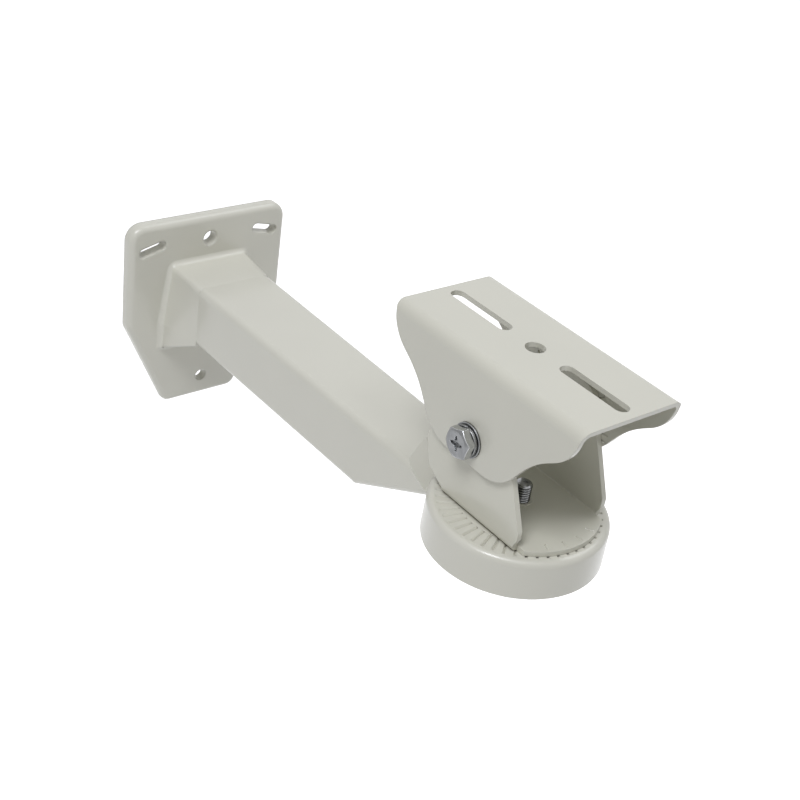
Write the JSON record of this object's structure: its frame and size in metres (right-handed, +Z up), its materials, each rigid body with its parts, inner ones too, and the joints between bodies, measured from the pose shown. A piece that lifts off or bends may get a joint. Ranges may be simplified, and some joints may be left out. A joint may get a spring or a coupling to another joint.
{
  "type": "cctv camera stand",
  "caption": "Wall bracket: cast arm with a toothed pan turntable, a folded yoke, and a slotted saddle that tilts on hex bolts.",
  "frame": {"origin": "centre of the wall plate, on the plane of its wall face", "axes": "+Y into the wall, -Y along the arm, +X along the wall, +Z up"},
  "size_m": [0.098, 0.3129, 0.1671],
  "materials": {
    "casting_coat": "pale cream powder coat on cast aluminium, satin, faint orange peel",
    "sheet_coat": "pale cream powder coat on folded steel sheet, satin",
    "bolt_zinc": "bright zinc plate on steel",
    "washer_zinc": "dull zinc plate on steel"
  },
  "bodies": {
    "casting": {"arm_casting": "casting_coat"},
    "yoke": {"yoke": "sheet_coat", "pan_bolt": "bolt_zinc", "pan_flat_washer": "washer_zinc", "pan_spring_washer": "washer_zinc", "tilt_bolt_left": "bolt_zinc", "tilt_nut_left": "bolt_zinc", "tilt_flat_washer_left": "washer_zinc", "tilt_spring_washer_left": "washer_zinc", "tilt_bolt_right": "bolt_zinc", "tilt_nut_right": "bolt_zinc", "tilt_flat_washer_right": "washer_zinc", "tilt_spring_washer_right": "washer_zinc"},
    "saddle": {"saddle": "sheet_coat"}
  },
  "joints": [
    {"name": "pan", "type": "hinge", "parent": "casting", "child": "yoke", "pos_m": [0, -0.266, 0.0356], "axis": [0, 0, 1], "continuous": true},
    {"name": "tilt", "type": "hinge", "parent": "yoke", "child": "saddle", "pos_m": [0, -0.2555, 0.0719], "axis": [1, 0, 0], "range_deg": [-60, 60]}
  ]
}
